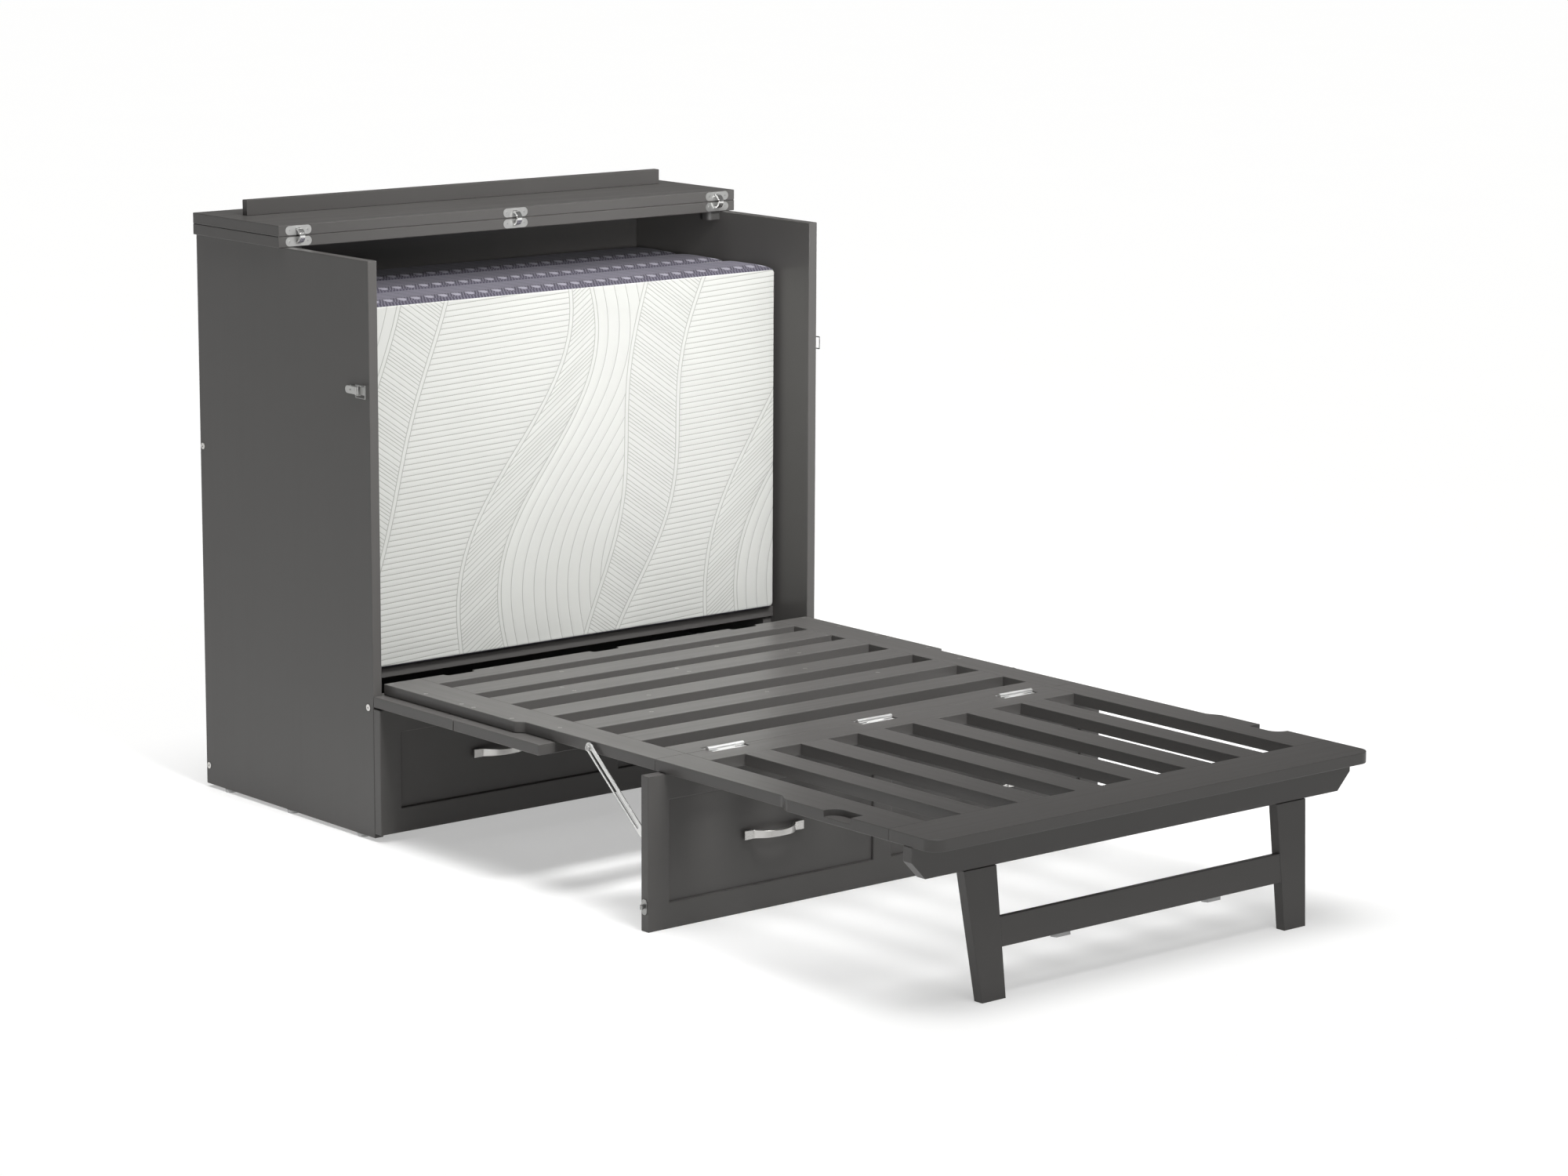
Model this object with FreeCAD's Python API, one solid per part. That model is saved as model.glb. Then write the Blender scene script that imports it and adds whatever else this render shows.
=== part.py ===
# Cabinet bed, drawn with the bed unfolded. Millimetres, +Z up, +Y towards the cabinet's back.
# Lengths along Y are first laid out from the front plane of the cabinet's sides (Y = 0) and
# every piece is shifted by SHIFT_Y on export, so the origin is the centre of the footprint.
import FreeCAD, Part
import math
import os

V = FreeCAD.Vector

# ---- driving dimensions ------------------------------------------------------------------
SHIFT_Y = 474.0
HALF_W = 533.6          # half the outer width of the cabinet sides
SIDE_T = 19.8           # cabinet board thickness
IN_X = HALF_W - SIDE_T  # inner face of a side
DEPTH = 570.0           # depth of a side
GLIDE_H = 6.3           # floor glide height
TOP_Z = 1080.0          # top edge of the sides
TOP_HALF = 545.4        # half width of the top boards
LID_Y = 270.0           # front edge of the fixed top board, the lid's fold line
LID_Z = 1100.7          # height of the fold line
LID_BACK = 562.0
LID_T = 20.6
DECK_PIVOT = (0.0, 276.0)
DECK_BOT, DECK_TOP = 275.5, 296.0
DECK_REAR, DECK_FRONT = -1.4, -789.0
FOLD_AXIS = (-789.5, 296.4)
FOOT_HEAD, FOOT_END = -790.0, -1518.0
WIDE, NARROW = 510.2, 497.5
SUP_PIVOT = (-796.0, 275.0)
SUP_T = 20.0
STAY_PIN = (-611.5, 284.5)     # guide screw on the deck's edge
STAY_FOOT = (-786.5, 139.0)    # pivot on the support panel's bracket
ARM_IN, ARM_OUT = 503.2, 505.2
LEG_PIVOT = (-1435.0, 262.0)
LEG_TILT = 6.85
LEG_TOP_Z = 218.4
APRON_Z = 219.0
MAT_HALF, MAT_Z0, MAT_Z1 = 508.0, 300.2, 985.0
MAT_Y = 89.0            # as in use; it can be pushed 10.5 mm further in
MAT_T = 148.4


# ---- helpers -----------------------------------------------------------------------------
def box(x0, x1, y0, y1, z0, z1):
    return Part.makeBox(x1 - x0, y1 - y0, z1 - z0, V(x0, y0, z0))


def board(x0, x1, y0, y1, z0, z1, r=1.1):
    b = box(x0, x1, y0, y1, z0, z1)
    return b.makeFillet(r, b.Edges) if r else b


def cyl(r, p, d, h):
    return Part.makeCylinder(r, h, V(*p), V(*d))


def xcyl(r, y, z, x0, x1):
    return cyl(r, (x0, y, z), (1, 0, 0), x1 - x0)


def prism(points, axis, a, b):
    """A polygon of pairs, pushed along one axis from a to b."""
    if axis == "x":
        pts, d = [V(a, u, v) for u, v in points], V(b - a, 0, 0)
    elif axis == "y":
        pts, d = [V(u, a, v) for u, v in points], V(0, b - a, 0)
    else:
        pts, d = [V(u, v, a) for u, v in points], V(0, 0, b - a)
    return Part.Face(Part.makePolygon(pts + pts[:1])).extrude(d)


def mirror(s):
    return s.mirror(V(0, 0, 0), V(1, 0, 0))


def fuse(first, *rest):
    out = first
    for s in rest:
        out = out.fuse(s)
    return out.removeSplitter()


def cut(s, *tools):
    for t in tools:
        s = s.cut(t)
    return s


def one(s):
    return s.Solids[0] if len(s.Solids) == 1 else s


OUT = {}


def node(name, *solids):
    flat = []
    for s in solids:
        flat += s.Solids
    for s in flat:
        if not s.isValid() or s.Volume < 1:
            print("BAD SOLID", name, s.Volume)
    OUT[name] = flat


# ---- cabinet shell -----------------------------------------------------------------------
bolt_at = [(560.0, 672.0), (560.0, 43.0), (16.0, 252.0)]
bolts, bolt_holes = [], []
for y, z in bolt_at:
    for s in (-1, 1):
        x = s * HALF_W
        head = cyl(6.2, (x, y, z), (s, 0, 0), 1.0)
        shank = cyl(3.0, (x + s * 0.5, y, z), (-s, 0, 0), 48.5)
        socket = Part.Face(
            Part.makePolygon(
                [V(x + s * 0.2, y + 2.4 * math.cos(a), z + 2.4 * math.sin(a)) for a in [math.radians(60 * k) for k in range(7)]]
            )
        ).extrude(V(s * 3, 0, 0))
        bolts.append(cut(fuse(head, shank), socket))
        bolt_holes.append(cyl(3.0, (x + s, y, z), (-s, 0, 0), 49.0))
left = board(-HALF_W, -IN_X, 0, DEPTH, GLIDE_H, TOP_Z, 1.6)
left = cut(left, *bolt_holes)
node("side_panel_left", left)
node("side_panel_right", mirror(left))
node("cabinet_bolts", *bolts)
node("back_panel", box(-IN_X, IN_X, 546.4, 550.0, 24.0, 1079.8))
rails = [board(-IN_X, IN_X, 550.0, 569.6, a, b, 0) for a, b in ((957.0, 1079.8), (650.0, 694.0), (20.0, 66.0))]
node("back_rails", *[cut(r, *bolt_holes) for r in rails])
hinge_rail = board(-IN_X, IN_X, 6.0, 26.0, 232.0, 272.0, 0)
node("hinge_rail", cut(hinge_rail, *bolt_holes))
node("mattress_shelf", board(-IN_X, IN_X, 106.0, 546.4, 280.0, 299.8, 0))
cleat = board(-IN_X, -IN_X + 20.0, 112.0, 540.0, 250.0, 280.0, 0)
node("shelf_cleats", cleat, mirror(cleat))
glides = [cyl(11.0, (s * (HALF_W - SIDE_T / 2), y, 0), (0, 0, 1), GLIDE_H) for s in (-1, 1) for y in (52, 285, 500)]
node("floor_glides", *[g.makeFillet(1.2, [e for e in g.Edges if e.BoundBox.ZMax < 0.1]) for g in glides])
block = board(-IN_X, -IN_X + 28, 278, 306, 1063, 1079.8, 0)
block = block.makeFillet(9.0, [e for e in block.Edges if e.BoundBox.ZLength > 10 and e.BoundBox.XMax > -490])
node("top_corner_blocks", block, mirror(block))

# ---- top boards and lid ------------------------------------------------------------------
LINK_X = (-501.0, 0.0, 501.0)
LINK_R0, LINK_R1, LINK_W = 10.2, 13.8, 11.0


def lozenge(cx, cz, y0, y1, w=58.0, h=17.4):
    b = box(cx - w / 2, cx + w / 2, y0, y1, cz - h / 2, cz + h / 2)
    return b.makeFillet(h / 2 - 0.01, [e for e in b.Edges if e.BoundBox.YLength > (y1 - y0) * 0.9 and e.BoundBox.XLength < 0.1])


def link_pocket(x):
    w = LINK_W / 2 + 0.4
    return cut(xcyl(LINK_R1 + 0.5, LID_Y, LID_Z, x - w, x + w), xcyl(LINK_R0 - 0.5, LID_Y, LID_Z, x - w - 1, x + w + 1))


PL_LOW, PL_HIGH = 1090.2, 1111.2
rear_top = board(-TOP_HALF, TOP_HALF, LID_Y, LID_BACK, TOP_Z, LID_Z - 0.1, 1.4)
lid = board(-TOP_HALF, TOP_HALF, LID_Y, LID_BACK, LID_Z + 0.1, LID_Z + 0.1 + LID_T, 1.4)
low, high = [], []
for x in LINK_X:
    pocket = link_pocket(x)
    rear_top = cut(rear_top, pocket, lozenge(x, PL_LOW, LID_Y - 1, LID_Y + 2.6))
    lid = cut(lid, pocket, lozenge(x, PL_HIGH, LID_Y - 1, LID_Y + 2.6))
    low.append(cut(lozenge(x, PL_LOW, LID_Y + 0.2, LID_Y + 2.6), pocket))
    high.append(cut(lozenge(x, PL_HIGH, LID_Y + 0.2, LID_Y + 2.6), pocket))
node("rear_top_board", rear_top)
node("lid_board", lid)
node("lid_hinge_plates_rear", *low)
node("lid_hinge_plates_front", *high)
links = []
for x in LINK_X:
    ring = cut(
        xcyl(LINK_R1, LID_Y, LID_Z, x - LINK_W / 2, x + LINK_W / 2),
        xcyl(LINK_R0, LID_Y, LID_Z, x - LINK_W, x + LINK_W),
        box(x - 20, x + 20, LID_Y + 0.3, LID_Y + 30, LID_Z - 30, LID_Z + 30),
    )
    links.append(ring)
node("lid_hinge_links", *links)
node("lid_stop_strip", board(-496, 496, 450, 466, LID_Z + 0.1 + LID_T, 1151.0, 1.0))

# ---- fronts ------------------------------------------------------------------------------
STILE, FIELD_D = 47.0, 5.0


def front_panel(h):
    """A panel lying with its face down: X across, Y from 0 to h, Z from 0 (face) to 20 (back)."""
    p = board(-HALF_W, HALF_W, 0, h, 0, SUP_T, 1.3)
    for x0, x1 in ((-HALF_W + STILE, -22.0), (22.0, HALF_W - STILE)):
        f = box(x0, x1, STILE, h - STILE, -1, FIELD_D)
        f = f.makeFillet(1.5, [e for e in f.Edges if e.BoundBox.ZLength > 1])
        bevel = box(x0 - 1.6, x1 + 1.6, STILE - 1.6, h - STILE + 1.6, -1, 1.6)
        bevel = bevel.makeChamfer(1.59, [e for e in bevel.Edges if e.BoundBox.ZMin > 1.5])
        p = cut(p, f, bevel)
    return p


def bow_pull():
    """A bowed strap pull: X along it, mounted on the plane Y = 0 and standing out to -Y."""
    half, out, t = 67.0, 27.0, 4.6
    xs = [-half + 17, -44, -34, -20, 0, 20, 34, 44, half - 17]
    outer = [4.6, 8.2, 17.0, 24.0, out, 24.0, 17.0, 8.2, 4.6]
    inner = [0.0, 1.6, 10.4, 18.4, out - t, 18.4, 10.4, 1.6, 0.0]
    co, ci = Part.BSplineCurve(), Part.BSplineCurve()
    co.interpolate([V(x, -y, 0) for x, y in zip(xs, outer)], InitialTangent=V(1, -0.15, 0), FinalTangent=V(1, 0.15, 0))
    mid = [V(x, -y, 0) for x, y in zip(xs[1:-1], inner[1:-1])]
    ci.interpolate(mid)
    edges = [
        Part.makeLine(V(-half, -3.6, 0), V(xs[0], -outer[0], 0)),
        co.toShape(),
        Part.makeLine(V(xs[-1], -outer[-1], 0), V(half, -3.6, 0)),
        Part.makeLine(V(half, -3.6, 0), V(half, 0, 0)),
        Part.makeLine(V(half, 0, 0), V(47.5, 0, 0)),
        Part.makeLine(V(47.5, 0, 0), mid[-1]),
        ci.toShape(),
        Part.makeLine(mid[0], V(-47.5, 0, 0)),
        Part.makeLine(V(-47.5, 0, 0), V(-half, 0, 0)),
        Part.makeLine(V(-half, 0, 0), V(-half, -3.6, 0)),
    ]
    wire = Part.Wire(Part.__sortEdges__(edges))
    strap = Part.Face(wire).extrude(V(0, 0, 18)).translated(V(0, 0, -9))
    zc = Part.BSplineCurve()
    zc.interpolate([V(-half, 0, 8.3), V(-46, 0, 7.6), V(-22, 0, 6.2), V(0, 0, 5.6), V(22, 0, 6.2), V(46, 0, 7.6), V(half, 0, 8.3)])
    zd = Part.BSplineCurve()
    zd.interpolate([V(half, 0, -8.3), V(46, 0, -7.6), V(22, 0, -6.2), V(0, 0, -5.6), V(-22, 0, -6.2), V(-46, 0, -7.6), V(-half, 0, -8.3)])
    w2 = Part.Wire(
        [zc.toShape(), Part.makeLine(V(half, 0, 8.3), V(half, 0, -8.3)), zd.toShape(), Part.makeLine(V(-half, 0, -8.3), V(-half, 0, 8.3))]
    )
    outline = Part.Face(w2).extrude(V(0, 60, 0)).translated(V(0, -45, 0))
    p = strap.common(outline)
    try:
        q = p.makeFillet(0.9, [e for e in p.Edges if e.Length > 80])
        if q.isValid() and q.Solids:
            p = q
    except Exception:
        pass
    return p


PULL_X = 255.0


def upright(panel, y_face, z0):
    """Stands a lying panel up: its face looks to -Y at y_face, its lower edge is at z0."""
    p = panel.copy()
    p.rotate(V(0, 0, 0), V(1, 0, 0), 90)      # y -> z, z -> -y
    p = p.mirror(V(0, 0, 0), V(0, 1, 0))
    return p.translated(V(0, y_face, z0))


def flat(panel, y_rear, z_face):
    """Lays a panel with its face down at z_face, running forward from y_rear."""
    h = panel.BoundBox.YMax
    return panel.translated(V(0, y_rear - h, z_face))


pull = bow_pull()

# drawer
node("drawer_front", upright(front_panel(237.0), -20.6, 15.0))
node("drawer_pulls", *[pull.translated(V(x, -20.6, 141.0)) for x in (-PULL_X, PULL_X)])
side = board(-501, -489, -0.6, 480, 32, 212, 0)
groove = box(-495, 495, -0.6, 474, 44, 50)
node("drawer_sides", cut(side, groove), cut(mirror(side), groove))
node("drawer_back", cut(board(-489, 489, 468, 480, 32, 212, 0), groove))
node("drawer_bottom", box(-494.9, 494.9, -0.5, 473.9, 44.1, 49.9))
fix = cut(box(-IN_X, -507.6, 12, 530, 100, 145), box(-511.6, -500, 0, 560, 108, 137))
node("drawer_runners_fixed", fix, mirror(fix))
mov = fuse(box(-504.2, -501, 8, 478, 104, 141), box(-510.8, -503.5, 8, 478, 112, 133))
node("drawer_runners_moving", mov, mirror(mov))

# ---- deck: first section and the two fronts that ride on it -------------------------------
SLOT_X = 430.0
SLOTS = [(-60.0, -103.5), (-173.0, -217.0), (-283.0, -343.0), (-410.0, -469.5), (-536.0, -598.5), (-664.0, -728.0)]


def edge_wire(y0, y1, ya, yb, sign, first, second):
    """Side-rail outline: width changes from first (near y0) to second (near y1) by an S between ya and yb."""
    n = 8
    pts = [V(sign * SLOT_X, y0, DECK_BOT), V(sign * first, y0, DECK_BOT), V(sign * first, ya, DECK_BOT)]
    s = [V(sign * (first + (second - first) * (0.5 - 0.5 * math.cos(math.pi * k / n))), ya + (yb - ya) * k / n, DECK_BOT) for k in range(1, n)]
    return pts, s, [V(sign * second, yb, DECK_BOT), V(sign * second, y1, DECK_BOT), V(sign * SLOT_X, y1, DECK_BOT)]


def side_rail(y0, y1, ya, yb, sign, first, second):
    a, s, b = edge_wire(y0, y1, ya, yb, sign, first, second)
    curve = Part.BSplineCurve()
    curve.interpolate([a[-1]] + s + [b[0]], InitialTangent=V(0, yb - ya, 0), FinalTangent=V(0, yb - ya, 0))
    w = Part.Wire(
        [Part.makeLine(a[0], a[1]), Part.makeLine(a[1], a[2]), curve.toShape(), Part.makeLine(b[0], b[1]), Part.makeLine(b[1], b[2]), Part.makeLine(b[2], a[0])]
    )
    return Part.Face(w).extrude(V(0, 0, DECK_TOP - DECK_BOT))


def soften(s, r, test):
    try:
        q = s.makeFillet(r, [e for e in s.Edges if test(e)])
        if q.isValid() and len(q.Solids) == 1:
            return q
    except Exception:
        pass
    print("fillet skipped")
    return s


EASE = 0.6              # small chamfer on the top edges of the rails and slats


def eased(s, test=lambda e: True):
    return s.makeChamfer(EASE, [e for e in s.Edges if e.BoundBox.ZMin > DECK_TOP - 0.01 and test(e)])


def inner_edge(e):
    return e.BoundBox.XMin > -SLOT_X - 0.01 and e.BoundBox.YLength > 100


screws, screw_holes = [], []
for y, xs in (
    (-8.5, (-498, -270, -150, 150, 270, 498)),
    (-116.5, (-498, -187, 187, 498)),
    (-227.5, (-498, -270, 0, 270, 498)),
    (-264.0, (-498, -270, 0, 270, 498)),
    (-379.0, (-498, -187, 187, 498)),
    (-492.0, (-476, -270, 0, 270, 476)),
):
    for x in xs:
        head = Part.makeCone(2.0, 4.2, 2.4, V(x, y, DECK_TOP - 2.45), V(0, 0, 1))
        shank = cyl(2.0, (x, y, DECK_TOP - 34), (0, 0, 1), 32.0)
        slot = fuse(box(x - 2.4, x + 2.4, y - 0.5, y + 0.5, DECK_TOP - 1.1, DECK_TOP + 1), box(x - 0.5, x + 0.5, y - 2.4, y + 2.4, DECK_TOP - 1.1, DECK_TOP + 1))
        screws.append(cut(fuse(head, shank), slot))
        hole = fuse(Part.makeCone(2.0, 4.3, 2.55, V(x, y, DECK_TOP - 2.55), V(0, 0, 1)), cyl(2.0, (x, y, DECK_TOP - 34), (0, 0, 1), 32.0))
        screw_holes.append(hole)
screw_tool = Part.makeCompound(screw_holes)

deck_left = side_rail(DECK_REAR, DECK_FRONT, -401.0, -421.0, -1, WIDE, NARROW)
deck_left = soften(deck_left, 1.2, lambda e: e.BoundBox.XMin < -495 and e.BoundBox.XMax < -490 and (e.BoundBox.ZMin > DECK_TOP - 0.01 or e.BoundBox.ZMax < DECK_BOT + 0.01))
deck_left = cut(eased(deck_left, inner_edge), screw_tool)
node("deck_side_rails", deck_left, mirror(deck_left))

HINGE_X = (-343.0, 0.0, 343.0)
KN_R, KN_PIN = 2.8, 1.2
rear_rail = eased(box(-SLOT_X, SLOT_X, SLOTS[0][0], DECK_REAR, DECK_BOT, DECK_TOP))
for x in HINGE_X:
    notch = box(x - 33, x + 33, -14.0, 3.0, DECK_BOT - 1, DECK_TOP + 1)
    notch = notch.makeFillet(9.0, [e for e in notch.Edges if e.BoundBox.ZLength > 5 and e.BoundBox.YMax < -10])
    rear_rail = cut(rear_rail, notch)
node("deck_rear_rail", cut(rear_rail, screw_tool))

slats = []
for (a0, a1), (b0, b1) in zip(SLOTS[:-1], SLOTS[1:]):
    s = eased(box(-SLOT_X, SLOT_X, b0, a1, DECK_BOT, DECK_TOP))
    slats.append(cut(s, screw_tool))
node("deck_slats", *slats)
node("deck_screws", *screws)

# rear hinges: one leaf on the hinge rail, one in the notch of the rear rail
fixed, moving = [], []
py, pz = DECK_PIVOT
for x in HINGE_X:
    leaf = box(x - 27, x + 27, -0.6, 24, 272.0, 273.5)
    gap = box(x - 13.3, x + 13.3, -4, 3.4, 271, 281)
    kn = fuse(xcyl(KN_R, py, pz, x - 27, x - 13.3), xcyl(KN_R, py, pz, x + 13.3, x + 27))
    body = cut(leaf, gap).fuse(kn).fuse(xcyl(KN_PIN, py, pz, x - 27, x + 27)).removeSplitter()
    fixed.append(body)
    plate = fuse(box(x - 12.9, x + 12.9, -14.0, 0.0, pz + 0.2, pz + 1.8), box(x - 23, x + 23, -13.9, -12.3, pz + 0.2, DECK_TOP - 3.5), xcyl(KN_R, py, pz, x - 12.9, x + 12.9))
    moving.append(cut(plate, xcyl(KN_PIN + 0.05, py, pz, x - 20, x + 20)))
node("deck_hinge_leaves_fixed", *fixed)
node("deck_hinge_leaves_moving", *moving)

row2 = flat(front_panel(248.0), -1.0, 255.2)
row3 = flat(front_panel(254.0), -251.0, 255.2)
for x in HINGE_X:
    row2 = cut(row2, box(x - 29, x + 29, -5.0, 1.0, 271.0, 277.0))
row2 = cut(row2, screw_tool)
row3 = cut(row3, screw_tool)
node("false_front_2", row2)
node("false_front_3", row3)

# fold hinges between the two deck sections: their leaves are let into the top faces
FOLD_X = (-343.0, 0.0, 343.0)
FY, FZ = FOLD_AXIS
FR, FP, FL = 4.6, 1.7, 80.0
LEAF_Z0, LEAF_Z1, LEAF_W = 292.4, 293.8, 18.0
front_rail = eased(box(-SLOT_X, SLOT_X, DECK_FRONT, SLOTS[-1][1], DECK_BOT, DECK_TOP))
head_rail = eased(box(-SLOT_X, SLOT_X, -855.0, FOOT_HEAD, DECK_BOT, DECK_TOP))


def fold_leaf(x, side, spans):
    """A hinge leaf on one side of the pin (side is 1 or -1); spans are the stretches of its knuckles."""
    h, m = FL / 2, FL / 4
    y0, y1 = sorted((FY + side * 5.3, FY + side * LEAF_W))
    leaf = box(x - h, x + h, y0, y1, LEAF_Z0, LEAF_Z1)
    for a, b in spans:
        t0, t1 = sorted((FY + side * 1.6, FY + side * 6.0))
        leaf = fuse(leaf, box(x + a, x + b, t0, t1, LEAF_Z0, LEAF_Z1), xcyl(FR, FY, FZ, x + a, x + b))
    cuts = []
    for dx in (-28.0, 0.0, 28.0):
        c = (x + dx, FY + side * 11.8, LEAF_Z1)
        cuts.append(cut(cyl(3.1, (c[0], c[1], c[2] - 0.35), (0, 0, 1), 1), cyl(2.7, (c[0], c[1], c[2] - 0.4), (0, 0, 1), 2)))
        cuts.append(box(c[0] - 1.7, c[0] + 1.7, c[1] - 0.4, c[1] + 0.4, c[2] - 0.6, c[2] + 1))
        cuts.append(box(c[0] - 0.4, c[0] + 0.4, c[1] - 1.7, c[1] + 1.7, c[2] - 0.6, c[2] + 1))
    return cut(leaf, *cuts)


deck_leaf, foot_leaf = [], []
for x in FOLD_X:
    h, m = FL / 2, FL / 4
    tool = fuse(
        box(x - h - 1.0, x + h + 1.0, FY - LEAF_W - 0.8, FY + LEAF_W + 0.8, LEAF_Z0 - 0.1, DECK_TOP + 1),
        box(x - h - 1.0, x + h + 1.0, FY - 5.2, FY + 5.2, 291.4, DECK_TOP + 1),
    )
    front_rail = cut(front_rail, tool)
    head_rail = cut(head_rail, tool)
    d = fold_leaf(x, 1, [(-h, -m - 0.2), (m + 0.2, h)])
    deck_leaf.append(fuse(d, xcyl(FP, FY, FZ, x - h, x + h)))
    f = fold_leaf(x, -1, [(-m + 0.2, m - 0.2)])
    foot_leaf.append(cut(f, xcyl(FP + 0.05, FY, FZ, x - h, x + h)))
node("fold_hinge_leaves_deck", *deck_leaf)
node("fold_hinge_leaves_foot", *foot_leaf)

# support-panel hinges
SUP_X = (-265.0, -120.0, 120.0, 265.0)
HY, HZ = SUP_PIVOT
SR, SP = 2.4, 1.1
support = upright(front_panel(274.8), HY - SUP_T, 0.0)
panel_leaf, under_leaf = [], []
for x in SUP_X:
    support = cut(
        support,
        box(x - 26, x + 26, HY - 3.5, HY + 1, 238.0, 276.0),
        xcyl(3.0, HY, HZ, x - 26, x + 26),
    )
    head_rail = cut(head_rail, box(x - 27, x + 27, -801.0, -788.0, DECK_BOT - 1, 278.2))
    front_rail = cut(front_rail, box(x - 27, x + 27, -789.9, -788.0, DECK_BOT - 1, 278.2))
    k = xcyl(SR, HY, HZ, x - 12.3, x + 12.3)
    pl = fuse(box(x - 25, x + 25, HY - 3.4, HY - 1.9, 240, 272.0), box(x - 12.3, x + 12.3, HY - 3.4, HY - 1.9, 271, 275.4), k)
    panel_leaf.append(cut(pl, xcyl(SP + 0.05, HY, HZ, x - 25, x + 25)))
    k = fuse(xcyl(SR, HY, HZ, x - 25, x - 12.6), xcyl(SR, HY, HZ, x + 12.6, x + 25))
    dl = fuse(box(x - 25, x + 25, HY + 2.9, HY + 34, 273.9, 275.5), box(x - 25, x - 12.6, HY + 1, HY + 4, 273.9, 275.5), box(x + 12.6, x + 25, HY + 1, HY + 4, 273.9, 275.5))
    under_leaf.append(fuse(dl, k, xcyl(SP, HY, HZ, x - 25, x + 25)))
node("deck_front_rail", front_rail)
node("support_hinge_leaves_panel", *panel_leaf)
node("support_hinge_leaves_deck", *under_leaf)

# stays: slotted arms on both sides
ang = math.degrees(math.atan2(STAY_PIN[1] - STAY_FOOT[1], STAY_PIN[0] - STAY_FOOT[0]))
reach = math.hypot(STAY_PIN[1] - STAY_FOOT[1], STAY_PIN[0] - STAY_FOOT[0])
CLOSED_REACH = 48.5
print("stay angle %.3f reach %.3f slide %.3f" % (ang, reach, reach - CLOSED_REACH))


def stay_arm():
    """Arm along +Y from the origin (its lower pivot), flat in X."""
    bar = box(-ARM_OUT, -ARM_IN, 1.2, reach, -6.9, 10.3)
    ends = fuse(xcyl(8.6, 1.2, 1.7, -ARM_OUT, -ARM_IN), xcyl(8.6, reach, 1.7, -ARM_OUT, -ARM_IN))
    a = fuse(bar, ends)
    s0, s1 = CLOSED_REACH - 0.4, reach + 0.4
    slot = fuse(box(-520, -490, s0, s1, -3.1, 3.1), xcyl(3.1, s0, 0, -520, -490), xcyl(3.1, s1, 0, -520, -490))
    a = cut(a, slot)
    rivet = xcyl(5.0, 0, 0, -ARM_OUT - 2.2, -ARM_OUT)
    rivet = rivet.makeFillet(1.2, [e for e in rivet.Edges if e.BoundBox.XMax < -ARM_OUT - 2.1])
    both = Part.makeCompound([a, rivet])
    both.rotate(V(0, 0, 0), V(1, 0, 0), ang)
    return both.translated(V(0, STAY_FOOT[0], STAY_FOOT[1]))


arm = stay_arm()
node("stay_arms", *arm.Solids, *[mirror(s) for s in arm.Solids])
guide = fuse(
    xcyl(5.2, STAY_PIN[0], STAY_PIN[1], -ARM_OUT - 3.0, -ARM_OUT - 0.25),
    xcyl(2.8, STAY_PIN[0], STAY_PIN[1], -ARM_OUT - 1.0, -NARROW - 1.9),
)
guide = cut(guide, box(-ARM_OUT - 3.2, -ARM_OUT - 2.0, STAY_PIN[0] - 0.6, STAY_PIN[0] + 0.6, STAY_PIN[1] - 3.4, STAY_PIN[1] + 3.4), box(-ARM_OUT - 3.2, -ARM_OUT - 2.0, STAY_PIN[0] - 3.4, STAY_PIN[0] + 3.4, STAY_PIN[1] - 0.6, STAY_PIN[1] + 0.6))
node("stay_guide_screws", guide, mirror(guide))
ferrule = xcyl(6.0, STAY_PIN[0], STAY_PIN[1], -NARROW - 1.7, -NARROW)
node("stay_ferrules", ferrule, mirror(ferrule))
brk = fuse(
    box(-502.4, -478.0, HY - 2.0, HY - 0.3, STAY_FOOT[1] - 16, STAY_FOOT[1] + 16),
    prism([(HY - 2.0, STAY_FOOT[1] - 14), (HY - 0.3, STAY_FOOT[1] - 14), (STAY_FOOT[0] + 6.5, STAY_FOOT[1] - 6), (STAY_FOOT[0] + 6.5, STAY_FOOT[1] + 6), (HY - 0.3, STAY_FOOT[1] + 14), (HY - 2.0, STAY_FOOT[1] + 14)], "x", -502.4, -500.8),
)
node("stay_brackets", brk, mirror(brk))
rec = box(-502.8, -477.6, HY - 2.1, HY + 1, STAY_FOOT[1] - 16.4, STAY_FOOT[1] + 16.4)
kerf = box(-508.0, -502.4, HY - 17.8, HY + 1, STAY_FOOT[1] - 12.0, 226.0)
support = cut(support, rec, mirror(rec), kerf, mirror(kerf))

# strikes on the support panel's edges
SZ = 44.0
plate = box(-HALF_W - 1.5, -HALF_W, -813.0, -799.0, SZ - 14, SZ + 14)
plate = plate.makeFillet(6.9, [e for e in plate.Edges if e.BoundBox.XLength > 1])
hook = fuse(box(-541.4, -HALF_W - 1.0, -804.0, -802.2, SZ - 4, SZ + 4), box(-541.4, -539.8, -808.0, -802.2, SZ - 4, SZ + 4))
strike = fuse(plate, hook)
node("strike_hooks", strike, mirror(strike))
node("support_panel", support)
node("support_pulls", *[pull.translated(V(x, HY - SUP_T, 139.0)) for x in (-PULL_X, PULL_X)])

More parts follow.
